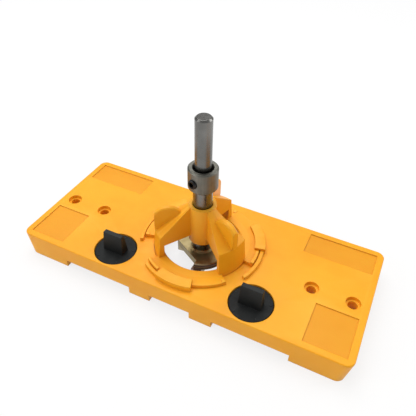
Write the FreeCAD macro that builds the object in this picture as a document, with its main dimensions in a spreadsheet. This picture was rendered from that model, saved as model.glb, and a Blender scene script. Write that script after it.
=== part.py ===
import FreeCAD, Part
import math
import os
import re
import Sketcher

# Hinge boring jig: a moulded plate that sits over the edge of a cabinet door,
# a bayonet-mounted bit guide, a 35 mm hinge boring bit with a stop collar, and
# two edge dials whose cams set how far from the door's edge the cup is bored.
# Millimetres, +Z up. The origin is on the bore's axis, level with the feet.

os.makedirs("parts", exist_ok=True)
doc = FreeCAD.newDocument("hinge_boring_jig")
sheet = doc.addObject("Spreadsheet::Sheet", "Sizes")

# Driving dimensions
SIZES = {
    # moulded plate
    "plate_length": 220.0,
    "plate_width": 90.0,
    "plate_top": 17.1,
    "door_plane": 5.3,
    "end_draft": 2.5,
    "corner_round": 5.0,
    "edge_round": 0.8,
    "skin": 3.0,
    "wall": 3.0,
    "skirt_wall": 4.2,
    "rib_wall": 2.0,
    "foot_inner": 13.8,
    "foot_outer": 28.4,
    "end_foot": 76.5,
    "panel_depth": 0.6,
    "panel_edge": 4.4,
    "panel_short": 25.0,
    "panel_long": 44.0,
    "panel_back": 17.3,
    "panel_front": 27.6,
    # holes for fixing screws
    "screw_near": 75.0,
    "screw_far": 100.0,
    "screw_line": 3.3,
    "screw_hole": 3.0,
    "screw_seat": 4.5,
    "seat_depth": 2.2,
    "screw_boss": 6.5,
    # bayonet socket of the plate
    "socket_gap": 0.3,
    "lip_inner": 34.3,
    "lip_wall": 3.0,
    "lip_height": 4.0,
    "lip_thick": 1.3,
    "lip_sweep": 34.0,
    "fence_thick": 2.3,
    "fence_height": 2.2,
    # bit guide
    "guide_turn": -27.0,
    "ring_outer": 31.0,
    "ring_inner": 25.6,
    "ring_bevel": 0.7,
    "ring_height": 2.3,
    "spigot_depth": 4.0,
    "tab_outer": 37.5,
    "tab_sweep": 80.0,
    "tab_rise": 0.1,
    "stop_rib_sweep": 17.0,
    "stop_rib_thick": 1.9,
    "stop_rib_height": 1.1,
    "leg_half_inner": 7.6,
    "leg_half_outer": 10.9,
    "leg_floor": 19.8,
    "leg_slope": 29.5,
    "leg_dish": 13.0,
    "leg_wall": 4.7,
    "window_height": 10.0,
    "vault_haunch": 3.0,
    "vault_haunch_height": 2.6,
    "vault_height": 5.1,
    "fin_radius": 10.0,
    "fin_reach": 22.0,
    "fin_rise": 24.4,
    "fin_thick": 5.5,
    "fin_bevel": 0.9,
    "sleeve_outer": 8.6,
    "sleeve_rise": 34.3,
    "sleeve_drop": 5.5,
    "mouth_bevel": 0.8,
    # boring bit
    "cutter_radius": 17.5,
    "body_relief": 0.25,
    "head_height": 14.4,
    "disc_thick": 5.0,
    "rim_bevel": 0.7,
    "rim_groove": 0.5,
    "hub_radius": 7.6,
    "hub_height": 1.2,
    "low_shank": 6.0,
    "top_shank": 5.0,
    "step_height": 75.4,
    "bit_length": 110.6,
    "shank_bevel": 1.0,
    "boss_radius": 4.2,
    "point_radius": 2.0,
    "point_height": 3.6,
    "edge_height": 3.2,
    "edge_offset": 2.5,
    "tooth_relief": 0.8,
    "lug_sweep": 24.0,
    "gullet_depth": 13.4,
    "gullet_turn": 30.0,
    "tooth_thick": 4.6,
    "tip_thick": 1.8,
    "spur_width": 3.4,
    "spur_thick": 1.8,
    "spur_lead": 0.7,
    "spur_turn": -6.0,
    "braze_gap": 0.02,
    # stop collar and its set screw
    "collar_radius": 9.0,
    "collar_height": 15.0,
    "collar_bevel": 0.8,
    "collar_foot": 1.8,
    "bore_depth": 12.0,
    "run_gap": 0.05,
    "set_screw_radius": 2.9,
    "set_screw_length": 4.0,
    "set_screw_gap": 0.1,
    "set_screw_turn": -105.0,
    "hex_socket": 1.5,
    "hex_depth": 2.2,
    # edge dials
    "dial_side": 46.7,
    "dial_back": 30.0,
    "dial_radius": 13.3,
    "dial_thick": 2.3,
    "dial_sink": 0.5,
    "dial_gap": 0.3,
    "dial_bevel": 0.5,
    "dial_floor": 2.6,
    "grip_length": 14.4,
    "grip_base": 6.4,
    "grip_tip": 2.9,
    "grip_height": 13.8,
    "grip_taper": 0.7,
    "stem_radius": 5.0,
    "stem_wall": 3.0,
    "key_width": 6.0,
    "key_depth": 1.4,
    "cam_low": 0.6,
    "cam_gap": 0.3,
    "cam_blank": 11.5,
    "cam_relief": 0.4,
    "first_setting": 3.0,
    "setting_step": 1.0,
    "tick_length": 1.8,
    "tick_width": 0.6,
    "tick_height": 0.25,
    "dial_screw": 1.5,
    "dial_screw_head": 2.9,
    "dial_screw_thick": 1.5,
    "dial_screw_length": 11.0,
    "cross_width": 0.7,
}

SIDES = {"left": -1, "right": 1}
THIRD = 120
LEGS = (0, 1, 2)
SETTINGS = 5

row = 1
for name, size in SIZES.items():
    sheet.set("A%d" % row, name)
    sheet.set("B%d" % row, str(size))
    sheet.setAlias("B%d" % row, name)
    row += 1
doc.recompute()


# Helpers: a formula is written in the sheet's own names
def formula(text):
    def qualify(match):
        word = match.group(0)
        return "Sizes." + word if word in SIZES else word
    return re.sub(r"[a-z][a-z_]*", qualify, str(text))


def value(text):
    return float(doc.Sizes.evalExpression(formula(text)))


def bind(item, prop, text):
    item.setExpression(prop, formula(text))


def place(item, x=0, y=0, z=0, turn=None):
    bind(item, ".Placement.Base.x", x)
    bind(item, ".Placement.Base.y", y)
    bind(item, ".Placement.Base.z", z)
    if turn is not None:
        bind(item, ".Placement.Rotation.Angle", "(%s) * 1 deg" % turn)


def cylinder(name, radius, height, x=0, y=0, z=0, sweep=None, turn=None):
    item = doc.addObject("Part::Cylinder", name)
    bind(item, "Radius", radius)
    bind(item, "Height", height)
    if sweep is not None:
        bind(item, "Angle", sweep)
    place(item, x, y, z, turn)
    return item


def cone(name, low, high, height, x=0, y=0, z=0):
    item = doc.addObject("Part::Cone", name)
    bind(item, "Radius1", low)
    bind(item, "Radius2", high)
    bind(item, "Height", height)
    place(item, x, y, z)
    return item


def box(name, length, width, height, x=0, y=0, z=0):
    item = doc.addObject("Part::Box", name)
    bind(item, "Length", length)
    bind(item, "Width", width)
    bind(item, "Height", height)
    place(item, x, y, z)
    return item


def fuse(name, *pieces):
    item = doc.addObject("Part::MultiFuse", name)
    item.Shapes = list(pieces)
    item.Refine = True
    return item


def cut(name, base, *tools):
    item = doc.addObject("Part::Cut", name)
    item.Base = base
    item.Tool = tools[0] if len(tools) == 1 else fuse(name + "_tools", *tools)
    item.Refine = True
    return item


def common(name, *pieces):
    item = doc.addObject("Part::MultiCommon", name)
    item.Shapes = list(pieces)
    item.Refine = True
    return item


def sector(name, inner, outer, height, z, sweep, start):
    """A piece of a ring, swept anticlockwise from its start angle."""
    whole = cylinder(name + "_blank", outer, height, z=z, sweep=sweep, turn=start)
    core = cylinder(name + "_core", inner, "%s + 2" % height, z="%s - 1" % z)
    return cut(name, whole, core)


def outline(body, name, role, corners):
    """A closed polygon sketched on one of the body's own origin planes."""
    sketch = body.newObject("Sketcher::SketchObject", name)
    plane = [item for item in body.Origin.OriginFeatures if item.Role == role][0]
    sketch.AttachmentSupport = [(plane, "")]
    sketch.MapMode = "FlatFace"
    spots = [FreeCAD.Vector(value(x), value(y), 0) for x, y in corners]
    count = len(spots)
    for index in range(count):
        sketch.addGeometry(Part.LineSegment(spots[index], spots[(index + 1) % count]), False)
    for index in range(count):
        sketch.addConstraint(Sketcher.Constraint("Coincident", index, 2, (index + 1) % count, 1))
    for index, (x, y) in enumerate(corners):
        for kind, text, number in (("DistanceX", x, spots[index].x), ("DistanceY", y, spots[index].y)):
            where = sketch.addConstraint(Sketcher.Constraint(kind, -1, 1, index, 1, number))
            bind(sketch, "Constraints[%d]" % where, text)
    return sketch


def turned(name, corners):
    """A solid of revolution about Z from a polygon of (radius, height)."""
    body = doc.addObject("PartDesign::Body", name)
    sketch = outline(body, name + "_section", "XZ_Plane", corners)
    spin = body.newObject("PartDesign::Revolution", name + "_turning")
    spin.Profile = sketch
    spin.ReferenceAxis = (sketch, ["V_Axis"])
    spin.Angle = 360
    return body


def edges_where(item, test):
    """Names of the edges whose two ends both pass the test."""
    doc.recompute()
    found = []
    for index, edge in enumerate(item.Shape.Edges):
        if all(test(vertex.Point) for vertex in edge.Vertexes):
            found.append("Edge%d" % (index + 1))
    return found


# Plate: a tapered block with rounded corners
def make_block():
    body = doc.addObject("PartDesign::Body", "block")
    sketch = outline(body, "block_section", "XZ_Plane", [
        ("-plate_length / 2 + end_draft", "0"),
        ("plate_length / 2 - end_draft", "0"),
        ("plate_length / 2", "plate_top"),
        ("-plate_length / 2", "plate_top"),
    ])
    pad = body.newObject("PartDesign::Pad", "block_pad")
    pad.Profile = sketch
    pad.Midplane = True
    bind(pad, "Length", "plate_width")
    end = value("plate_length / 2 - end_draft") - 0.01
    side = value("plate_width / 2") - 0.01
    top = value("plate_top") - 0.01
    uprights = [name for name in edges_where(pad, lambda p: abs(p.x) > end and abs(p.y) > side)
                if abs(pad.Shape.getElement(name).BoundBox.ZLength) > top]
    corners = body.newObject("PartDesign::Fillet", "corner_rounds")
    corners.Base = (pad, uprights)
    bind(corners, "Radius", "corner_round")
    rim = edges_where(corners, lambda p: p.z > top)
    brim = body.newObject("PartDesign::Fillet", "top_round")
    brim.Base = (corners, rim)
    bind(brim, "Radius", "edge_round")
    return body


def make_underside():
    """The hollow below the skin, with its ribs and bosses left standing."""
    front = "-plate_width / 2 + skirt_wall"
    back = "plate_width / 2 - wall"
    depth = "plate_top - skin - door_plane + 1"
    hollow = box("hollow", "plate_length - 2 * end_draft - 2 * wall",
                 "plate_width - skirt_wall - wall", depth,
                 "-plate_length / 2 + end_draft + wall", front, "door_plane - 1")
    kept = [cylinder("socket_boss", "ring_outer + socket_gap + wall", depth, z="door_plane - 1")]
    for side, sign in SIDES.items():
        ribs = {
            "near": "dial_side + stem_radius + dial_gap + stem_wall",
            "screw": "screw_near",
            "middle": "(screw_near + screw_far) / 2",
            "far": "screw_far",
        }
        for spot, x in ribs.items():
            kept.append(box("rib_%s_%s" % (spot, side), "rib_wall", "%s - (%s)" % (back, front), depth,
                            "%d * (%s) - rib_wall / 2" % (sign, x), front, "door_plane - 1"))
        for spot in ("screw_near", "screw_far"):
            kept.append(cylinder("boss_%s_%s" % (spot, side), "screw_boss", depth,
                                 "%d * %s" % (sign, spot), "-screw_line", "door_plane - 1"))
        kept.append(cylinder("dial_tube_" + side, "stem_radius + dial_gap + stem_wall", depth,
                             "%d * dial_side" % sign, "-dial_back", "door_plane - 1"))
        seat = "plate_top - dial_sink - dial_thick - dial_gap - dial_floor"
        kept.append(cylinder("dial_pan_" + side, "dial_radius + dial_gap + wall",
                             "plate_top - (%s)" % seat, "%d * dial_side" % sign, "-dial_back", seat))
    for spot, y in {"front": "-screw_line", "back": "plate_width / 4"}.items():
        kept.append(box("long_rib_" + spot, "plate_length", "rib_wall", depth,
                        "-plate_length / 2", "%s - rib_wall / 2" % y, "door_plane - 1"))
    return cut("underside", hollow, *kept)


def make_skirt_cuts():
    """Everything below the door plane except the feet along the front."""
    inside = "-plate_width / 2 + skirt_wall"
    cuts = [box("door_space", "plate_length + 2", "plate_width", "door_plane + 1",
                "-plate_length / 2 - 1", inside, -1)]
    cuts.append(box("middle_notch", "2 * foot_inner", "skirt_wall + 2", "door_plane + 1",
                    "-foot_inner", "-plate_width / 2 - 1", -1))
    for side, sign in SIDES.items():
        start = "foot_outer" if sign > 0 else "-end_foot"
        cuts.append(box("notch_" + side, "end_foot - foot_outer", "skirt_wall + 2", "door_plane + 1",
                        start, "-plate_width / 2 - 1", -1))
    return cuts


def make_plate_holes():
    holes = [cylinder("socket_bore", "ring_outer + socket_gap", "plate_top + 2", z=-1)]
    for side, sign in SIDES.items():
        for spot in ("screw_near", "screw_far"):
            x = "%d * %s" % (sign, spot)
            holes.append(cylinder("%s_hole_%s" % (spot, side), "screw_hole", "plate_top + 2",
                                  x, "-screw_line", -1))
            holes.append(cylinder("%s_seat_%s" % (spot, side), "screw_seat", "seat_depth + 1",
                                  x, "-screw_line", "plate_top - seat_depth"))
        x = "%d * dial_side" % sign
        holes.append(cylinder("dial_recess_" + side, "dial_radius + dial_gap",
                              "dial_sink + dial_thick + dial_gap + 1", x, "-dial_back",
                              "plate_top - dial_sink - dial_thick - dial_gap"))
        holes.append(cylinder("dial_bore_" + side, "stem_radius + dial_gap", "plate_top + 2",
                              x, "-dial_back", -1))
        holes.append(cylinder("cam_room_" + side, "cam_blank + dial_gap", "cam_relief + 1",
                              x, "-dial_back", "door_plane - 1"))
    return holes


def make_panels():
    """Four bare sunk panels at the corners of the plate."""
    panels = []
    for side, sign in SIDES.items():
        for row_name, length, width, y in (
                ("back", "panel_long", "panel_back", "plate_width / 2 - panel_edge - panel_back"),
                ("front", "panel_short", "panel_front", "-plate_width / 2 + panel_edge")):
            outer = "plate_length / 2 - panel_edge"
            start = "%s - %s" % (outer, length) if sign > 0 else "-(%s)" % outer
            panels.append(box("panel_%s_%s" % (row_name, side), length, width, "panel_depth + 1",
                              start, y, "plate_top - panel_depth"))
    return panels


def make_socket_lips():
    """Three hooked lips that hold the guide's tabs, with low fences beside them."""
    lips = []
    outer = "tab_outer + 2 * socket_gap + lip_wall"
    inner = "tab_outer + 2 * socket_gap"
    for index in LEGS:
        start = "-90 - lip_sweep / 2 + %d" % (index * THIRD)
        lips.append(sector("lip_wall_%d" % index, inner, outer, "lip_height", "plate_top",
                           "lip_sweep", start))
        lips.append(sector("lip_hook_%d" % index, "lip_inner", "tab_outer + 3 * socket_gap",
                           "lip_thick", "plate_top + lip_height - lip_thick", "lip_sweep", start))
    for index, (start, sweep) in enumerate(FENCES):
        lips.append(sector("fence_%d" % index, inner, "%s + fence_thick" % inner, "fence_height",
                           "plate_top", sweep, start))
    return lips


# Fences run on from the lips: front left, right, and back left
FENCES = (
    ("-124", "17.5"),
    ("-24", "37.5"),
    ("166.5", "38"),
)


def make_jig_body():
    block = make_block()
    hollowed = cut("plate_shell", block, make_underside(), *make_skirt_cuts())
    raised = fuse("plate_with_lips", hollowed, *make_socket_lips())
    return cut("jig_body", raised, *(make_plate_holes() + make_panels()))


# Bit guide: a bayonet ring, three gripped legs and the sleeve they carry
def make_leg(index):
    """One leg, modelled along +X and turned to its place."""
    tag = "leg_%d" % index
    top = "plate_top + sleeve_rise"
    wedge = doc.addObject("Part::Wedge", tag + "_wedge")
    for prop, text in {
        "Xmin": "-leg_half_inner", "Xmax": "leg_half_inner",
        "X2min": "-leg_half_outer", "X2max": "leg_half_outer",
        "Ymin": "0", "Ymax": "ring_outer",
        "Zmin": "plate_top", "Zmax": top,
        "Z2min": "plate_top", "Z2max": top,
    }.items():
        bind(wedge, prop, text)
    wedge.Placement = FreeCAD.Placement(FreeCAD.Vector(), FreeCAD.Rotation(FreeCAD.Vector(0, 0, 1), -90))

    # two planes that fall outwards and dip a little towards the fin
    pitch = math.tan(math.radians(value("leg_slope")))
    dish = math.tan(math.radians(value("leg_dish")))
    reach = value("ring_outer")
    low = FreeCAD.Vector(reach, 0, value("plate_top + leg_floor"))
    along = FreeCAD.Vector(1, 0, -pitch).normalize()
    roofs = []
    for name, sign in SIDES.items():
        up = FreeCAD.Vector(pitch, -sign * dish, 1).normalize()
        turn = FreeCAD.Rotation(along, up.cross(along), up, "XZY")
        roof = doc.addObject("Part::Box", "%s_roof_%s" % (tag, name))
        bind(roof, "Length", "2 * ring_outer")
        bind(roof, "Width", "ring_outer")
        bind(roof, "Height", "ring_outer")
        back = turn.multVec(FreeCAD.Vector(0, 0 if sign > 0 else -reach, 0))
        roof.Placement = FreeCAD.Placement(low - along * (1.6 * reach) + back, turn)
        roofs.append(roof)

    inner = "ring_outer - leg_wall"
    spring = "plate_top + window_height"
    hollow = fuse(tag + "_hollow",
                  cylinder(tag + "_well", inner, "window_height + 1", z="plate_top - 1"),
                  cone(tag + "_haunch", inner, "%s - vault_haunch" % inner, "vault_haunch_height", z=spring),
                  cone(tag + "_vault", "%s - vault_haunch" % inner, 0, "vault_height",
                       z="%s + vault_haunch_height" % spring))
    block = cut(tag + "_block", wedge, fuse(tag + "_roof", *roofs), hollow)
    fin = fuse(tag + "_fin",
               cylinder(tag + "_fin_disc", "fin_radius", "fin_thick - 2 * fin_bevel", z="fin_bevel"),
               cone(tag + "_fin_near", "fin_radius - fin_bevel", "fin_radius", "fin_bevel"),
               cone(tag + "_fin_far", "fin_radius", "fin_radius - fin_bevel", "fin_bevel",
                    z="fin_thick - fin_bevel"))
    fin.Placement = FreeCAD.Placement(FreeCAD.Vector(), FreeCAD.Rotation(FreeCAD.Vector(1, 0, 0), 90))
    place(fin, "fin_reach", "fin_thick / 2", "plate_top + fin_rise")
    bound = cylinder(tag + "_bound", "ring_outer", "%s + 1" % top)
    leg = common(tag, fuse(tag + "_solid", block, fin), bound)
    place(leg, turn="guide_turn + %d" % (index * THIRD))
    return leg


def make_drill_guide():
    ring = cylinder("guide_ring", "ring_outer", "spigot_depth + ring_height", z="plate_top - spigot_depth")
    pieces = [ring]
    for index in LEGS:
        pieces.append(make_leg(index))
        start = "guide_turn + (%d - tab_sweep) / 2 + %d" % (THIRD, index * THIRD)
        pieces.append(sector("tab_%d" % index, "ring_outer - 1", "tab_outer", "ring_height - tab_rise",
                             "plate_top + tab_rise", "tab_sweep", start))
        pieces.append(sector("stop_rib_%d" % index, "tab_outer - stop_rib_thick", "tab_outer",
                             "ring_height - tab_rise + stop_rib_height", "plate_top + tab_rise",
                             "stop_rib_sweep", start))
    drop = "plate_top + sleeve_drop"
    pieces.append(cylinder("sleeve", "sleeve_outer", "sleeve_rise - sleeve_drop - mouth_bevel",
                           z="%s + mouth_bevel" % drop))
    pieces.append(cone("sleeve_foot", "sleeve_outer - mouth_bevel", "sleeve_outer", "mouth_bevel", z=drop))
    bore = "low_shank + run_gap"
    opening = [
        cylinder("ring_bore", "ring_inner", "spigot_depth + ring_height + 1", z="plate_top - spigot_depth - 1"),
        cone("ring_mouth", "ring_inner", "ring_inner + ring_bevel", "ring_bevel",
             z="plate_top + ring_height - ring_bevel"),
    ]
    rim = cut("open_ring", ring, *opening)
    pieces[0] = rim
    return cut("drill_guide", fuse("guide_solid", *pieces),
               cylinder("sleeve_bore", bore, "sleeve_rise + 2", z="plate_top"),
               cone("sleeve_mouth", bore, "%s + mouth_bevel" % bore, "mouth_bevel",
                    z="plate_top + sleeve_rise - mouth_bevel"))


# Boring bit: a turned blank with two gullets, teeth, carbide tips and spurs
def make_bit_blank():
    rim = "cutter_radius - body_relief"
    under = "head_height - disc_thick"
    middle = "head_height - disc_thick / 2"
    return turned("bit_blank", [
        ("0", "0"),
        ("point_radius", "point_height"),
        ("boss_radius", "point_height"),
        ("boss_radius", under),
        ("%s - rim_bevel" % rim, under),
        (rim, "%s + rim_bevel" % under),
        (rim, "%s - rim_groove" % middle),
        ("%s - rim_groove" % rim, middle),
        (rim, "%s + rim_groove" % middle),
        (rim, "head_height - rim_bevel"),
        ("%s - rim_bevel" % rim, "head_height"),
        ("hub_radius", "head_height"),
        ("low_shank + 0.4", "head_height + 0.4 * hub_height"),
        ("low_shank", "head_height + hub_height"),
        ("low_shank", "step_height"),
        ("top_shank", "step_height + low_shank - top_shank"),
        ("top_shank", "bit_length - shank_bevel"),
        ("top_shank - shank_bevel", "bit_length"),
        ("0", "bit_length"),
    ])


def make_gullet(index):
    """The wedge of the disc that is cut away ahead of one cutting edge."""
    body = doc.addObject("PartDesign::Body", "gullet_%d" % index)
    reach = "2 * cutter_radius"
    sketch = outline(body, "gullet_plan_%d" % index, "XY_Plane", [
        ("edge_offset", "-gullet_depth"),
        ("edge_offset", "-gullet_depth - %s" % reach),
        ("edge_offset - %s * cos(gullet_turn)" % reach, "-gullet_depth - %s" % reach),
        ("edge_offset - %s * cos(gullet_turn)" % reach, "-gullet_depth + %s * sin(gullet_turn)" % reach),
    ])
    pad = body.newObject("PartDesign::Pad", "gullet_pad_%d" % index)
    pad.Profile = sketch
    bind(pad, "Length", "head_height + 1")
    place(body, turn="%d" % (180 * index))
    return body


def spun(name, item, turn):
    """The item as a tool that is turned about the bore's axis."""
    group = doc.addObject("Part::Compound", name)
    group.Links = [item]
    place(group, turn=turn)
    return group


def make_tooth(index):
    """Steel behind one cutting edge, below the disc."""
    blank = box("tooth_blank_%d" % index, "tooth_thick", "cutter_radius - 1",
                "head_height - disc_thick - edge_height - tooth_relief + 0.2",
                "edge_offset", "-cutter_radius", "edge_height + tooth_relief")
    bound = cylinder("tooth_bound_%d" % index, "cutter_radius - body_relief", "head_height")
    tooth = common("tooth_%d" % index, blank, bound)
    place(tooth, turn=180 * index)
    return tooth


def make_spur_lug(index):
    """Steel lug under the disc that backs one spur."""
    outer = "cutter_radius - body_relief"
    lug = sector("spur_lug_%d" % index, "%s - 2 * spur_thick" % outer, outer,
                 "head_height - disc_thick - edge_height - tooth_relief + 0.2",
                 "edge_height + tooth_relief", "lug_sweep", "spur_turn - lug_sweep / 2")
    place(lug, turn=180 * index)
    return lug


def make_spur_slot(index):
    """The slot in the rim that one spur is brazed into."""
    slot = box("spur_room_%d" % index, "spur_thick + 2", "spur_width + 2 * braze_gap",
               "head_height - disc_thick / 2 + 1 + braze_gap",
               "cutter_radius - spur_thick - braze_gap", "-spur_width / 2 - braze_gap", -1)
    return spun("spur_slot_%d" % index, slot, "spur_turn + %d" % (180 * index))


def make_spur(index, name):
    blank = box("spur_blank_%d" % index, "spur_thick + 1", "spur_width",
                "head_height - disc_thick / 2 - edge_height + spur_lead",
                "cutter_radius - spur_thick", "-spur_width / 2", "edge_height - spur_lead")
    bound = cylinder("spur_bound_%d" % index, "cutter_radius", "head_height")
    spur = common(name, blank, bound)
    place(spur, turn="spur_turn + %d" % (180 * index))
    return spur


def make_cutting_tip(index, name):
    """The carbide plate on the leading face of one tooth."""
    blank = box("tip_blank_%d" % index, "tip_thick", "cutter_radius",
                "head_height - disc_thick - edge_height - braze_gap",
                "edge_offset - tip_thick - braze_gap", "-cutter_radius", "edge_height")
    bound = cylinder("tip_bound_%d" % index, "cutter_radius", "head_height")
    core = cylinder("tip_core_%d" % index, "boss_radius + braze_gap", "head_height")
    tip = cut(name, common(name + "_plate", blank, bound), core)
    place(tip, turn=180 * index)
    return tip


def make_bit_body():
    gullets = [make_gullet(index) for index in (0, 1)]
    solids = [cut("bit_head", make_bit_blank(), *gullets)]
    for index in (0, 1):
        solids.append(make_tooth(index))
        solids.append(make_spur_lug(index))
    slots = [make_spur_slot(index) for index in (0, 1)]
    return cut("bit_body", fuse("bit_solid", *solids), *slots)


# Stop collar: it stands one cup's depth above the sleeve
COLLAR_LOW = "plate_top + sleeve_rise + bore_depth"


def radial(item, turn, reach, height):
    """Lays an item's own Z along a radius of the bore, facing outwards."""
    angle = math.radians(value(turn))
    outward = FreeCAD.Vector(math.cos(angle), math.sin(angle), 0)
    item.Placement = FreeCAD.Placement(FreeCAD.Vector(), FreeCAD.Rotation(FreeCAD.Vector(0, 0, 1), outward))
    place(item, "(%s) * cos(%s)" % (reach, turn), "(%s) * sin(%s)" % (reach, turn), height)
    return item


def make_stop_collar():
    bore = "low_shank + run_gap"
    ring = turned("collar_ring", [
        (bore, COLLAR_LOW),
        ("collar_radius - collar_foot", COLLAR_LOW),
        ("collar_radius", "%s + collar_foot" % COLLAR_LOW),
        ("collar_radius", "%s + collar_height - collar_bevel" % COLLAR_LOW),
        ("collar_radius - collar_bevel", "%s + collar_height" % COLLAR_LOW),
        ("%s + collar_bevel / 2" % bore, "%s + collar_height" % COLLAR_LOW),
        (bore, "%s + collar_height - collar_bevel / 2" % COLLAR_LOW),
    ])
    hole = cylinder("set_screw_hole", "set_screw_radius + set_screw_gap", "collar_radius")
    radial(hole, "set_screw_turn", "low_shank / 2", "%s + collar_height / 2" % COLLAR_LOW)
    return cut("stop_collar", ring, hole)


def hex_prism(name, across, height, z):
    """A hexagonal key socket, half the width across flats given."""
    wafer = doc.addObject("Part::RegularPolygon", name + "_outline")
    wafer.Polygon = 6
    bind(wafer, "Circumradius", "(%s) / cos(30)" % across)
    prism = doc.addObject("Part::Extrusion", name)
    prism.Base = wafer
    prism.DirMode = "Custom"
    prism.Dir = FreeCAD.Vector(0, 0, 1)
    prism.Solid = True
    bind(prism, "LengthFwd", height)
    place(prism, z=z)
    return prism


def make_set_screw():
    blank = turned("set_screw_blank", [
        ("0", "0"),
        ("set_screw_radius - 0.5", "0"),
        ("set_screw_radius", "0.5"),
        ("set_screw_radius", "set_screw_length - 0.4"),
        ("set_screw_radius - 0.4", "set_screw_length"),
        ("0", "set_screw_length"),
    ])
    socket = hex_prism("set_screw_socket", "hex_socket", "hex_depth + 1", "set_screw_length - hex_depth")
    screw = cut("collar_set_screw", blank, socket)
    return radial(screw, "set_screw_turn", "low_shank + set_screw_gap",
                  "%s + collar_height / 2" % COLLAR_LOW)


# Edge dials: a grip and disc above the plate, a cam and its screw below
CAM_TOP = "(door_plane - cam_gap)"
DIAL_FOOT = "(plate_top - dial_sink - dial_thick)"


def make_dial(side, sign):
    tag = side + "_dial"
    face = "%s + dial_thick" % DIAL_FOOT
    disc = turned(tag + "_disc", [
        ("0", CAM_TOP),
        ("stem_radius", CAM_TOP),
        ("stem_radius", DIAL_FOOT),
        ("dial_radius", DIAL_FOOT),
        ("dial_radius", "%s - dial_bevel" % face),
        ("dial_radius - dial_bevel", face),
        ("0", face),
    ])
    grip = doc.addObject("Part::Wedge", tag + "_grip")
    for prop, text in {
        "Xmin": "-grip_length / 2", "Xmax": "grip_length / 2",
        "X2min": "-grip_length / 2 + grip_taper", "X2max": "grip_length / 2 - grip_taper",
        "Ymin": "-dial_thick / 2", "Ymax": "grip_height",
        "Zmin": "-grip_base / 2", "Zmax": "grip_base / 2",
        "Z2min": "-grip_tip / 2", "Z2max": "grip_tip / 2",
    }.items():
        bind(grip, prop, text)
    grip.Placement = FreeCAD.Placement(FreeCAD.Vector(), FreeCAD.Rotation(FreeCAD.Vector(1, 0, 0), 90))
    place(grip, z=face)
    key = box(tag + "_key", "key_width", "key_width", "key_depth + 0.2", "-key_width / 2",
              "-key_width / 2", "%s - key_depth" % CAM_TOP)
    marks = []
    for index in range(SETTINGS):
        mark = box("%s_mark_%d" % (tag, index), "tick_length", "tick_width", "tick_height + 0.2",
                   "dial_radius - dial_bevel - tick_length - 0.4", "-tick_width / 2", "%s - 0.2" % face)
        marks.append(spun("%s_tick_%d" % (tag, index), mark, "90 + %d / %d * %d" % (360, SETTINGS, index)))
    solid = fuse(tag + "_solid", disc, grip, key, *marks)
    pilot = cylinder(tag + "_pilot", "dial_screw + run_gap", "dial_screw_length - 1",
                     z="%s - key_depth - 1" % CAM_TOP)
    dial = cut(tag, solid, pilot)
    place(dial, "%d * dial_side" % sign, "-dial_back")
    return dial


def make_cam(side, sign):
    """Five flats, each at the edge distance of one setting from the dial's axis."""
    tag = side + "_cam"
    blank = cylinder(tag + "_blank", "cam_blank", "%s - cam_low" % CAM_TOP, z="cam_low")
    tools = []
    for index in range(SETTINGS):
        flat = "dial_back - cutter_radius - first_setting - %d * setting_step" % index
        trim = box("%s_trim_%d" % (tag, index), "cam_blank", "3 * cam_blank", "door_plane + 2",
                   flat, "-1.5 * cam_blank", -1)
        tools.append(spun("%s_flat_%d" % (tag, index), trim,
                          "90 + %d / %d * %d" % (360, SETTINGS, index - SETTINGS // 2)))
    room = "(key_width + 2 * run_gap)"
    tools.append(box(tag + "_key_room", room, room, "key_depth + run_gap + 1", "-%s / 2" % room,
                     "-%s / 2" % room, "%s - key_depth - run_gap" % CAM_TOP))
    tools.append(cylinder(tag + "_screw_hole", "dial_screw + run_gap", "door_plane + 2", z=-1))
    tools.append(cylinder(tag + "_screw_seat", "dial_screw_head + dial_gap", "dial_screw_thick + 0.2 + 1",
                          z="cam_low - 1"))
    cam = cut(tag, blank, *tools)
    place(cam, "%d * dial_side" % sign, "-dial_back")
    return cam


def make_dial_screw(side, sign):
    tag = side + "_dial_screw"
    low = "(cam_low + 0.2)"
    blank = turned(tag + "_blank", [
        ("0", low),
        ("dial_screw_head - 0.5", low),
        ("dial_screw_head", "%s + 0.5" % low),
        ("dial_screw_head", "%s + dial_screw_thick" % low),
        ("dial_screw", "%s + dial_screw_thick" % low),
        ("dial_screw", "dial_screw_length - 1.5"),
        ("0", "dial_screw_length"),
    ])
    slots = [box("%s_slot_%d" % (tag, index), length, width, "dial_screw_thick",
                 "-(%s) / 2" % length, "-(%s) / 2" % width, "cam_low - dial_screw_thick + 1")
             for index, (length, width) in enumerate((("dial_screw_head", "cross_width"),
                                                      ("cross_width", "dial_screw_head")))]
    screw = cut(tag, blank, *slots)
    place(screw, "%d * dial_side" % sign, "-dial_back")
    return screw


def make_parts():
    parts = {
        "jig_body": make_jig_body(),
        "drill_guide": make_drill_guide(),
        "bit_body": make_bit_body(),
        "stop_collar": make_stop_collar(),
        "collar_set_screw": make_set_screw(),
    }
    for index, name in enumerate(("front", "back")):
        parts["cutting_tip_" + name] = make_cutting_tip(index, "cutting_tip_" + name)
        parts["spur_" + name] = make_spur(index, "spur_" + name)
    for side, sign in SIDES.items():
        parts[side + "_dial"] = make_dial(side, sign)
        parts[side + "_cam"] = make_cam(side, sign)
        parts[side + "_dial_screw"] = make_dial_screw(side, sign)
    return parts


parts = make_parts()
for name, item in parts.items():
    item.Label = name
doc.recompute()

for item in doc.Objects:
    if "Invalid" in item.State or "Error" in item.State:
        raise RuntimeError("failed: %s %s" % (item.Name, item.State))
for name, item in parts.items():
    if item.Shape.isNull() or not item.Shape.isValid():
        raise RuntimeError("bad shape: " + name)
    print(name, len(item.Shape.Solids), "solids", round(item.Shape.Volume, 1), "mm3")
for name, item in parts.items():
    item.Shape.exportStep(os.path.join("parts", name + ".step"))
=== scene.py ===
import bmesh
import bpy
from math import cos, pi, radians, sin, tan
from mathutils import Matrix, Vector


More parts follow.
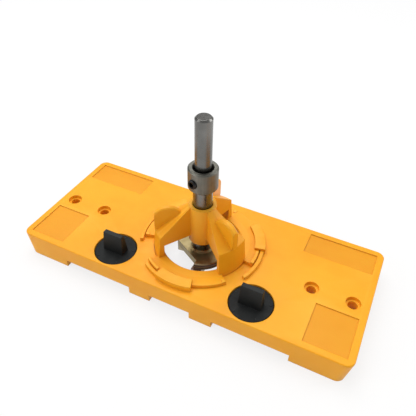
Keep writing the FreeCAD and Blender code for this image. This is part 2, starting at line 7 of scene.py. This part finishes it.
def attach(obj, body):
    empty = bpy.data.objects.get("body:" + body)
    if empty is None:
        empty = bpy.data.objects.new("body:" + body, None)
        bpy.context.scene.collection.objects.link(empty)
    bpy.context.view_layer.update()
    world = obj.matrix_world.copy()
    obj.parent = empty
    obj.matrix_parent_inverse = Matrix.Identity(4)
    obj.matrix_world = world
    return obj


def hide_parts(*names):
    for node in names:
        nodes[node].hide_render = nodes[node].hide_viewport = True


# Hinge boring jig: bit guide, materials, floor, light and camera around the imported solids.
# Metres, +Z up, origin on the bore's axis, level with the jig's feet.

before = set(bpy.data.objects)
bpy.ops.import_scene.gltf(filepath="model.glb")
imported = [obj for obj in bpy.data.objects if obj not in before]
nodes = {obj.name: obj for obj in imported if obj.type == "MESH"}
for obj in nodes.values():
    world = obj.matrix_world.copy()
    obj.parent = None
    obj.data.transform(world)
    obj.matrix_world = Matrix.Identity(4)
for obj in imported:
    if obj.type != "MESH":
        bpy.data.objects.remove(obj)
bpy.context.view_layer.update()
scene = bpy.context.scene


# Bit guide, in millimetres and degrees: ring, tabs and sleeve as in its solid, finer legs
MM = 0.001
LEGS = 3
THIRD = 360 / LEGS
PLATE_TOP = 17.1
GUIDE_TURN = -27.0
# flush faces are kept this far apart, so that no two lie in one plane
FLUSH = 0.02
# how far one solid sinks into the next, and how far a cutting tool runs past a face
SINK = 0.05
SINK_TURN = 0.05
FOOT_SINK = 0.2
OVERRUN = 1.0
# points closer than this are one, and edges sharper than this are not shaded smooth
WELD = 0.0001
SHARP_ANGLE = 25.0
ARC_STEP = 2.5

RING_OUTER = 31.0
RING_INNER = 25.6
RING_BEVEL = 0.7
RING_TOP = PLATE_TOP + 2.3
SPIGOT_LOW = PLATE_TOP - 4.0

TAB_OUTER = 37.5
TAB_LOW = PLATE_TOP + 0.1
TAB_SWEEP = 80.0
# a tab runs on past the solid's and ends in a low detent tooth that clears the lip's hook
TAB_TAIL = 6.0
TOOTH_INNER = 34.9
TOOTH_SWEEP = 3.4
TOOTH_RISE = 0.33
STOP_RIB_SWEEP = 17.0
STOP_RIB_THICK = 1.9
STOP_RIB_RISE = 1.1

SLEEVE_OUTER = 8.5
SLEEVE_BORE = 6.05
SLEEVE_LOW = PLATE_TOP + 5.5
# the stop collar lands on the sleeve's top at full depth
SLEEVE_TOP = PLATE_TOP + 34.3 - FLUSH
SLEEVE_BEVEL = 0.7
MOUTH_BEVEL = 0.4

LEG_TURN = GUIDE_TURN + 3.5
LEG_SWEEP = 41.5
LEG_EAVE = PLATE_TOP + 17.9
LEG_BROW = RING_OUTER - 1.6
LEG_SLOPE = 37.4
LEG_WALL = 2.4
LEG_SKIN = 2.6
WINDOW_TOP = PLATE_TOP + 11.0

FIN_RADIUS = 10.0
FIN_REACH = 22.0
FIN_HEIGHT = PLATE_TOP + 24.4
FIN_END = 29.8
FIN_THICK = 3.8
FIN_BEVEL = 0.7

# Colours are linear, and a pair holds the two tones of a mottled surface
YELLOW = (0.86, 0.350, 0.006), (0.91, 0.395, 0.011)
YELLOW_CLOUD = (0.94, 0.42, 0.018)
# painted highlight: a paler orange laid along the jig's outer edges
YELLOW_PAINTED_HIGHLIGHT = (0.98, 0.50, 0.05)
# painted shade: a darker orange laid into the jig's inner corners
YELLOW_PAINTED_SHADE = (0.56, 0.20, 0.004)
BLACK = (0.0065, 0.0075, 0.0075), (0.0115, 0.013, 0.013)
BLACK_RUBBED = (0.042, 0.045, 0.045)
BLACK_SPECK = (0.034, 0.035, 0.033)
SHANK = (0.15, 0.148, 0.140), (0.21, 0.207, 0.197)
HEAD = (0.235, 0.185, 0.085), (0.31, 0.25, 0.13)
# painted highlight on the bit head's edges
HEAD_PAINTED_HIGHLIGHT = (0.55, 0.47, 0.33)
RIM = (0.060, 0.034, 0.022), (0.095, 0.056, 0.036)
COLLAR = (0.115, 0.113, 0.095), (0.150, 0.147, 0.124)
# painted highlight on the stop collar's edges
COLLAR_PAINTED_HIGHLIGHT = (0.30, 0.29, 0.26)
CARBIDE = (0.26, 0.25, 0.24), (0.36, 0.35, 0.34)
ZINC = (0.48, 0.48, 0.50), (0.62, 0.62, 0.64)
BLACK_OXIDE = (0.022, 0.022, 0.024), (0.045, 0.045, 0.048)
# painted highlight: an edge of a small metal piece is its lighter tone times this, plus this
GLEAM = 1.6
GLEAM_LIFT = 0.04
# pointiness where an edge starts to show and where it shows in full
MOULDED_EDGE = 0.53, 0.62
# where the painted highlight on metal edges starts and where it is full
METAL_EDGE = 0.53, 0.60
# where painted shade in inner corners starts and where it is full
INNER_CORNER = 0.47, 0.40
EDGE_SAMPLES = 6
# metres from the axis to the cutter's dark rim, and height where the bright shank begins
RIM_REACH = 0.01695, 0.0171
SHANK_HEIGHT = 0.0152, 0.0160

# Studio, in metres
WHITE = (1.0, 1.0, 1.0, 1.0)
FLOOR_TONE = (0.86, 0.86, 0.86, 1.0)
FLOOR_SIZE = 6.0
FLOOR_DROP = 0.0002
# the floor's share of plain white near the object, rising to all of it further out
GLOW_SHARE = 0.80, 1.0
GLOW_REACH = 0.3, 1.1
AMBIENT = 0.47
LAMP_TARGET = (0.0, 0.0, 0.02)
# name, place, side and watts
LAMPS = (
    ("overhead", (-0.25, 0.25, 0.95), 0.8, 7.4),
    ("front_left", (-0.7, -0.6, 0.6), 0.6, 2.6),
    ("back_right", (0.6, 0.5, 0.5), 0.4, 1.5),
)
CAMERA_PLACE = (0.09196, -0.18677, 0.23240)
CAMERA_RIGHT = (0.89994, 0.43525, 0.02579)
CAMERA_UP = (-0.30669, 0.58985, 0.74701)
CAMERA_NEAR = 0.01
# lens and sensor in millimetres, shift in shares of the frame
CAMERA_LENS = 39.57
CAMERA_SENSOR = 36.0
CAMERA_SHIFT = -0.0118, 0.0004


def solid(name, bm):
    """An object of a closed mesh, with its faces turned outwards."""
    bmesh.ops.remove_doubles(bm, verts=bm.verts, dist=WELD)
    bmesh.ops.recalc_face_normals(bm, faces=bm.faces)
    mesh = bpy.data.meshes.new(name)
    bm.to_mesh(mesh)
    bm.free()
    item = bpy.data.objects.new(name, mesh)
    scene.collection.objects.link(item)
    return item


def lathe(name, profile, start=0.0, sweep=360.0, place=None):
    """A profile of radius and height turned about Z, whole or as a sector."""
    bm = bmesh.new()
    spans = max(2, round(sweep / ARC_STEP))
    whole = sweep >= 360.0
    rings = []
    for index in range(spans if whole else spans + 1):
        angle = radians(start + sweep * index / spans)
        rings.append([bm.verts.new((r * cos(angle), r * sin(angle), z)) for r, z in profile])
    for index in range(spans):
        here, there = rings[index], rings[(index + 1) % len(rings)]
        for low in range(len(profile)):
            high = (low + 1) % len(profile)
            bm.faces.new((here[low], there[low], there[high], here[high]))
    if not whole:
        bm.faces.new(rings[0])
        bm.faces.new(rings[-1][::-1])
    if place is not None:
        bm.transform(place)
    return solid(name, bm)


def sector(name, inner, outer, low, high, start, sweep):
    """A curved block between two radii and two heights."""
    return lathe(name, [(inner, low), (outer, low), (outer, high), (inner, high)], start, sweep)


def hull(name, corners):
    """The convex solid over the given corners."""
    bm = bmesh.new()
    for corner in corners:
        bm.verts.new(corner)
    bmesh.ops.convex_hull(bm, input=bm.verts)
    return solid(name, bm)


def combine(base, operation, *tools):
    """Joins, cuts or meets the base with each tool and drops the tools."""
    for tool in tools:
        step = base.modifiers.new("step", "BOOLEAN")
        step.operation = operation
        step.solver = "EXACT"
        step.object = tool
        graph = bpy.context.evaluated_depsgraph_get()
        mesh = bpy.data.meshes.new_from_object(base.evaluated_get(graph))
        base.modifiers.clear()
        base.data = mesh
        bpy.data.objects.remove(tool)
    return base


def make_fin():
    """A rounded thumb grip along +X that stands on one leg."""
    stand = Matrix.Translation((FIN_REACH, FIN_THICK / 2, FIN_HEIGHT))
    disc = lathe("fin", [
        (0.0, 0.0),
        (FIN_RADIUS - FIN_BEVEL, 0.0),
        (FIN_RADIUS, FIN_BEVEL),
        (FIN_RADIUS, FIN_THICK - FIN_BEVEL),
        (FIN_RADIUS - FIN_BEVEL, FIN_THICK),
        (0.0, FIN_THICK),
    ], place=stand @ Matrix.Rotation(pi / 2, 4, "X"))
    bound = hull("fin_bound", [(x, y, z) for x in (0.0, FIN_END)
                               for y in (-FIN_THICK, FIN_THICK)
                               for z in (PLATE_TOP, 2 * FIN_HEIGHT)])
    return combine(disc, "INTERSECT", bound)


def make_leg():
    """A leg along +X: a leaning outer wall, a roof that falls outwards, a cored underside."""
    slope = radians(LEG_SLOPE)
    foot = RING_TOP - FOOT_SINK
    crown = SLEEVE_TOP - SINK
    block = lathe("leg", [
        (0.0, foot),
        (RING_OUTER - SINK, foot),
        (LEG_BROW, LEG_EAVE),
        (LEG_BROW - (crown - LEG_EAVE) / tan(slope), crown),
        (0.0, crown),
    ], -LEG_SWEEP / 2, LEG_SWEEP)
    far = LEG_BROW - LEG_WALL
    half_sweep = radians(LEG_SWEEP / 2)
    corners = []
    for reach in (SLEEVE_OUTER + LEG_SKIN, far):
        half = reach * tan(half_sweep) - LEG_SKIN / cos(half_sweep)
        top = LEG_EAVE + (LEG_BROW - reach) * tan(slope) - LEG_SKIN / cos(slope)
        corners += [(reach, side * half, z) for side in (-1, 1)
                    for z in (WINDOW_TOP - OVERRUN, top)]
    well = lathe("leg_well", [
        (0.0, PLATE_TOP - OVERRUN),
        (far, PLATE_TOP - OVERRUN),
        (far, WINDOW_TOP),
        (0.0, WINDOW_TOP),
    ])
    combine(block, "UNION", make_fin())
    return combine(block, "DIFFERENCE", well, hull("leg_core", corners))


def make_guide():
    """The bit guide: bayonet ring with tabs, three legs and the sleeve that they carry."""
    guide = lathe("guide_form", [
        (RING_INNER, SPIGOT_LOW),
        (RING_OUTER, SPIGOT_LOW),
        (RING_OUTER, RING_TOP),
        (RING_INNER + RING_BEVEL, RING_TOP),
        (RING_INNER, RING_TOP - RING_BEVEL),
    ])
    leg = make_leg()
    raised = [lathe("sleeve", [
        (0.0, SLEEVE_LOW),
        (SLEEVE_OUTER - SLEEVE_BEVEL, SLEEVE_LOW),
        (SLEEVE_OUTER, SLEEVE_LOW + SLEEVE_BEVEL),
        (SLEEVE_OUTER, SLEEVE_TOP),
        (0.0, SLEEVE_TOP),
    ])]
    rim, foot = TAB_OUTER - SINK, TAB_LOW + SINK
    for index in range(LEGS):
        turn = index * THIRD
        spun = leg.copy()
        spun.data = leg.data.copy()
        spun.data.transform(Matrix.Rotation(radians(LEG_TURN + turn), 4, "Z"))
        scene.collection.objects.link(spun)
        start = GUIDE_TURN + (THIRD - TAB_SWEEP) / 2 + turn
        end = start + TAB_SWEEP + TAB_TAIL
        raised += [
            spun,
            sector("tab", RING_OUTER - OVERRUN, TAB_OUTER, TAB_LOW, RING_TOP - FLUSH,
                   start, TAB_SWEEP + TAB_TAIL),
            sector("tooth", TOOTH_INNER, rim, foot, RING_TOP + TOOTH_RISE,
                   end - TOOTH_SWEEP - SINK_TURN, TOOTH_SWEEP),
            sector("stop_rib", TAB_OUTER - STOP_RIB_THICK, rim, foot, RING_TOP + STOP_RIB_RISE,
                   start + SINK_TURN, STOP_RIB_SWEEP),
        ]
    bpy.data.objects.remove(leg)
    combine(guide, "UNION", *raised)
    combine(guide, "DIFFERENCE", lathe("bore", [
        (0.0, PLATE_TOP),
        (SLEEVE_BORE, PLATE_TOP),
        (SLEEVE_BORE, SLEEVE_TOP - MOUTH_BEVEL),
        (SLEEVE_BORE + MOUTH_BEVEL + OVERRUN, SLEEVE_TOP + OVERRUN),
        (0.0, SLEEVE_TOP + OVERRUN),
    ]))
    guide.data.transform(Matrix.Scale(MM, 4))
    for face in guide.data.polygons:
        face.use_smooth = True
    guide.data.set_sharp_from_angle(angle=radians(SHARP_ANGLE))
    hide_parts("drill_guide")
    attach(guide, "guide")
    return guide


class Graph:
    """A material's node tree, with short calls to add and join nodes."""

    def __init__(self, name):
        self.material = bpy.data.materials.new(name)
        self.material.use_nodes = True
        self.tree = self.material.node_tree
        self.tree.nodes.clear()
        self.output = self.add("OutputMaterial")
        self.spot = self.add("TexCoord").outputs["Object"]

    def add(self, kind, **settings):
        node = self.tree.nodes.new("ShaderNode" + kind)
        for key, setting in settings.items():
            setattr(node, key, setting)
        return node

    def join(self, source, target):
        self.tree.links.new(source, target)

    def feed(self, socket, source):
        """Joins a socket to the source, or sets it where the source is a plain value."""
        if isinstance(source, bpy.types.NodeSocket):
            self.join(source, socket)
        else:
            socket.default_value = source

    def math(self, operation, first, second=0.0):
        node = self.add("Math", operation=operation)
        self.feed(node.inputs[0], first)
        self.feed(node.inputs[1], second)
        return node.outputs[0]

    def ramp(self, source, low=0.3, high=0.7):
        """0 below low, 1 above high, smooth between."""
        node = self.add("MapRange", interpolation_type="SMOOTHSTEP")
        self.feed(node.inputs["Value"], source)
        node.inputs["From Min"].default_value = low
        node.inputs["From Max"].default_value = high
        return node.outputs["Result"]

    def span(self, source, low, high):
        """Maps 0..1 to low..high."""
        node = self.add("MapRange")
        self.feed(node.inputs["Value"], source)
        node.inputs["To Min"].default_value = low
        node.inputs["To Max"].default_value = high
        return node.outputs["Result"]

    def mix(self, share, first, second):
        node = self.add("Mix", data_type="RGBA")
        self.feed(node.inputs["Factor"], share)
        for socket, colour in ((node.inputs["A"], first), (node.inputs["B"], second)):
            if isinstance(colour, tuple):
                colour = (*colour, 1.0)
            self.feed(socket, colour)
        return node.outputs["Result"]

    def tint(self, colour, other, where, share):
        """Mixes in the other colour where the mask is, up to a share."""
        return self.mix(self.math("MULTIPLY", where, share), colour, other)

    def noise(self, size, detail=3.0, stretch=(1.0, 1.0, 1.0)):
        """Noise with features of about the given size in metres."""
        mapping = self.add("Mapping")
        self.join(self.spot, mapping.inputs["Vector"])
        mapping.inputs["Scale"].default_value = Vector(stretch) / size
        node = self.add("TexNoise")
        self.join(mapping.outputs["Vector"], node.inputs["Vector"])
        node.inputs["Scale"].default_value = 1.0
        node.inputs["Detail"].default_value = detail
        node.inputs["Roughness"].default_value = 0.5
        return node.outputs["Fac"]

    def bump(self, height, distance, strength, under):
        node = self.add("Bump")
        self.join(height, node.inputs["Height"])
        node.inputs["Distance"].default_value = distance
        node.inputs["Strength"].default_value = strength
        self.join(under, node.inputs["Normal"])
        return node.outputs["Normal"]

    def soft_edges(self, radius):
        node = self.add("Bevel", samples=EDGE_SAMPLES)
        node.inputs["Radius"].default_value = radius
        return node.outputs["Normal"]

    def lathe_marks(self, strength):
        """Fine rings round the bore's axis."""
        rings = self.noise(size=0.0004, detail=2.0, stretch=(0.02, 0.02, 1.0))
        return self.bump(rings, 0.00003, strength, self.soft_edges(0.00025))

    def edge_share(self, low, high):
        """How much a point lies on a sharp edge."""
        return self.ramp(self.add("NewGeometry").outputs["Pointiness"], low, high)

    def surface(self, colour, roughness, normal, **constants):
        shader = self.add("BsdfPrincipled")
        self.feed(shader.inputs["Base Color"], colour)
        self.feed(shader.inputs["Roughness"], roughness)
        self.join(normal, shader.inputs["Normal"])
        for key, setting in constants.items():
            shader.inputs[key.replace("_", " ")].default_value = setting
        self.join(shader.outputs["BSDF"], self.output.inputs["Surface"])
        return self.material


def moulded_yellow():
    """Satin yellow-orange moulding: faint flow marks, fine grain, a painted highlight on outer
    edges and painted shade in inner corners.
    """
    graph = Graph("moulded_yellow")
    flow = graph.noise(size=0.045, stretch=(1.0, 1.6, 1.0))
    cloud = graph.noise(size=0.009, detail=2.0)
    colour = graph.mix(graph.ramp(flow), *YELLOW)
    colour = graph.tint(colour, YELLOW_CLOUD, graph.ramp(cloud, 0.35, 0.75), share=0.25)
    # painted highlight: outer edges paler
    colour = graph.tint(colour, YELLOW_PAINTED_HIGHLIGHT, graph.edge_share(*MOULDED_EDGE), share=0.45)
    # painted shade: inner corners darkened towards a deeper orange
    colour = graph.tint(colour, YELLOW_PAINTED_SHADE, graph.edge_share(*INNER_CORNER), share=0.35)
    grain = graph.noise(size=0.0007)
    ripple = graph.noise(size=0.014, detail=1.0)
    normal = graph.bump(grain, 0.00003, 0.35, graph.soft_edges(0.0007))
    normal = graph.bump(ripple, 0.0004, 0.12, normal)
    roughness = graph.span(graph.noise(size=0.006, detail=4.0), 0.34, 0.50)
    return graph.surface(colour, roughness, normal, Specular_IOR_Level=0.28,
                         Subsurface_Weight=0.08, Subsurface_Scale=0.0015)


def moulded_black():
    """Near-black moulding with a dry grain and greyed edges."""
    graph = Graph("moulded_black")
    cloud = graph.noise(size=0.006)
    colour = graph.mix(graph.ramp(cloud), *BLACK)
    colour = graph.tint(colour, BLACK_RUBBED, graph.edge_share(*MOULDED_EDGE), share=0.5)
    speck = graph.noise(size=0.0012, detail=2.0)
    colour = graph.tint(colour, BLACK_SPECK, graph.ramp(speck, 0.62, 0.75), share=0.35)
    normal = graph.bump(graph.noise(size=0.0006), 0.00004, 0.5, graph.soft_edges(0.0004))
    roughness = graph.span(graph.noise(size=0.004), 0.42, 0.60)
    return graph.surface(colour, roughness, normal, Specular_IOR_Level=0.15)


def bit_steel():
    """Bright ground shank with faint streaks, bronze-tinted head with a painted highlight on
    its edges, and a darker rim.
    """
    graph = Graph("bit_steel")
    stain = graph.noise(size=0.012)
    shank = graph.mix(graph.ramp(stain, 0.3, 0.75), *SHANK)
    shank_rough = graph.span(graph.noise(size=0.003, stretch=(1.0, 1.0, 0.3)), 0.20, 0.34)
    parts = graph.add("SeparateXYZ")
    graph.join(graph.spot, parts.inputs[0])
    flat = graph.add("CombineXYZ")
    graph.join(parts.outputs["X"], flat.inputs["X"])
    graph.join(parts.outputs["Y"], flat.inputs["Y"])
    length = graph.add("VectorMath", operation="LENGTH")
    graph.join(flat.outputs[0], length.inputs[0])
    blotch = graph.noise(size=0.005, detail=4.0)
    head = graph.mix(graph.ramp(blotch), *HEAD)
    # painted highlight: the head's edges brighter
    head = graph.tint(head, HEAD_PAINTED_HIGHLIGHT, graph.edge_share(*METAL_EDGE), share=0.6)
    rim = graph.mix(graph.ramp(blotch), *RIM)
    head = graph.mix(graph.ramp(length.outputs["Value"], *RIM_REACH), head, rim)
    on_shank = graph.ramp(parts.outputs["Z"], *SHANK_HEIGHT)
    colour = graph.mix(on_shank, head, shank)
    normal = graph.lathe_marks(strength=0.25)
    head_rough = graph.span(graph.noise(size=0.0015), 0.32, 0.48)
    off_shank = graph.math("SUBTRACT", 1.0, on_shank)
    roughness = graph.math("ADD", graph.math("MULTIPLY", on_shank, shank_rough),
                           graph.math("MULTIPLY", off_shank, head_rough))
    return graph.surface(colour, roughness, normal, Metallic=1.0)


def collar_steel():
    """Duller turned steel of the stop collar, with a painted highlight on its edges."""
    graph = Graph("collar_steel")
    colour = graph.mix(graph.ramp(graph.noise(size=0.006)), *COLLAR)
    # painted highlight: the collar's edges brighter
    colour = graph.tint(colour, COLLAR_PAINTED_HIGHLIGHT, graph.edge_share(*METAL_EDGE), share=0.5)
    normal = graph.lathe_marks(strength=0.35)
    roughness = graph.span(graph.noise(size=0.002), 0.38, 0.52)
    return graph.surface(colour, roughness, normal, Metallic=1.0)


def plain_metal(name, tones, rough_low, rough_high):
    """A small metal piece with a mottled finish and a painted highlight on its edges."""
    graph = Graph(name)
    colour = graph.mix(graph.ramp(graph.noise(size=0.002)), *tones)
    # painted highlight: edges take a brighter copy of the lighter tone
    bright = tuple(min(1.0, GLEAM * part + GLEAM_LIFT) for part in tones[1])
    colour = graph.tint(colour, bright, graph.edge_share(*METAL_EDGE), share=0.5)
    grain = graph.noise(size=0.0004, detail=2.0)
    normal = graph.bump(grain, 0.00002, 0.4, graph.soft_edges(0.0002))
    roughness = graph.span(graph.noise(size=0.001), rough_low, rough_high)
    return graph.surface(colour, roughness, normal, Metallic=1.0)


def dress(guide):
    """Gives the bit guide and every solid their finish."""
    yellow = moulded_yellow()
    black = moulded_black()
    carbide = plain_metal("carbide", CARBIDE, 0.30, 0.42)
    zinc = plain_metal("zinc", ZINC, 0.28, 0.40)
    finishes = {
        "jig_body": yellow,
        "drill_guide": yellow,
        "bit_body": bit_steel(),
        "stop_collar": collar_steel(),
        "collar_set_screw": plain_metal("black_oxide", BLACK_OXIDE, 0.32, 0.45),
    }
    for end in ("front", "back"):
        finishes["cutting_tip_" + end] = carbide
        finishes["spur_" + end] = carbide
    for side in ("left", "right"):
        finishes[side + "_dial"] = black
        finishes[side + "_cam"] = black
        finishes[side + "_dial_screw"] = zinc
    for name, finish in finishes.items():
        data = nodes[name].data
        data.materials.clear()
        data.materials.append(finish)
    guide.data.materials.clear()
    guide.data.materials.append(yellow)


def make_floor():
    """A pale floor that shows nearly white and keeps a faint shadow."""
    bpy.ops.mesh.primitive_plane_add(size=FLOOR_SIZE, location=(0.0, 0.0, -FLOOR_DROP))
    floor = bpy.context.object
    floor.name = "floor"
    graph = Graph("pale_floor")
    matt = graph.add("BsdfDiffuse")
    matt.inputs["Color"].default_value = FLOOR_TONE
    glow = graph.add("Emission")
    glow.inputs["Color"].default_value = WHITE
    path = graph.add("LightPath")
    seen = graph.math("MAXIMUM", path.outputs["Is Camera Ray"], path.outputs["Is Glossy Ray"])
    seen = graph.math("MAXIMUM", seen, path.outputs["Is Transmission Ray"])
    away = graph.add("VectorMath", operation="LENGTH")
    graph.join(graph.spot, away.inputs[0])
    glowing = graph.span(graph.ramp(away.outputs["Value"], *GLOW_REACH), *GLOW_SHARE)
    share = graph.add("MixShader")
    graph.join(graph.math("MULTIPLY", seen, glowing), share.inputs["Fac"])
    graph.join(matt.outputs[0], share.inputs[1])
    graph.join(glow.outputs[0], share.inputs[2])
    graph.join(share.outputs[0], graph.output.inputs["Surface"])
    floor.data.materials.append(graph.material)


def make_world():
    """Plain light from all round, seen by the camera as white."""
    world = bpy.data.worlds.new("studio")
    scene.world = world
    world.use_nodes = True
    tree = world.node_tree
    tree.nodes.clear()
    output = tree.nodes.new("ShaderNodeOutputWorld")
    path = tree.nodes.new("ShaderNodeLightPath")
    share = tree.nodes.new("ShaderNodeMixShader")
    tree.links.new(path.outputs["Is Camera Ray"], share.inputs["Fac"])
    for socket, strength in ((share.inputs[1], AMBIENT), (share.inputs[2], 1.0)):
        light = tree.nodes.new("ShaderNodeBackground")
        light.inputs["Color"].default_value = WHITE
        light.inputs["Strength"].default_value = strength
        tree.links.new(light.outputs[0], socket)
    tree.links.new(share.outputs[0], output.inputs["Surface"])


def make_lamp(name, place, size, watts):
    """A soft square lamp that faces the part."""
    lamp = bpy.data.lights.new(name, "AREA")
    lamp.shape = "SQUARE"
    lamp.size = size
    lamp.energy = watts
    item = bpy.data.objects.new(name, lamp)
    scene.collection.objects.link(item)
    item.location = place
    toward = Vector(LAMP_TARGET) - Vector(place)
    item.rotation_mode = "QUATERNION"
    item.rotation_quaternion = toward.to_track_quat("-Z", "Y")


def make_camera():
    """The camera, above the jig's front right."""
    data = bpy.data.cameras.new("camera")
    data.sensor_width = CAMERA_SENSOR
    data.lens = CAMERA_LENS
    data.shift_x, data.shift_y = CAMERA_SHIFT
    data.clip_start = CAMERA_NEAR
    camera = bpy.data.objects.new("camera", data)
    scene.collection.objects.link(camera)
    right = Vector(CAMERA_RIGHT).normalized()
    up = Vector(CAMERA_UP).normalized()
    axes = Matrix((right, up, right.cross(up))).transposed().to_4x4()
    camera.matrix_world = Matrix.Translation(CAMERA_PLACE) @ axes
    scene.camera = camera


dress(make_guide())
make_floor()
make_world()
for lamp_row in LAMPS:
    make_lamp(*lamp_row)
make_camera()
scene.view_settings.view_transform = "Standard"
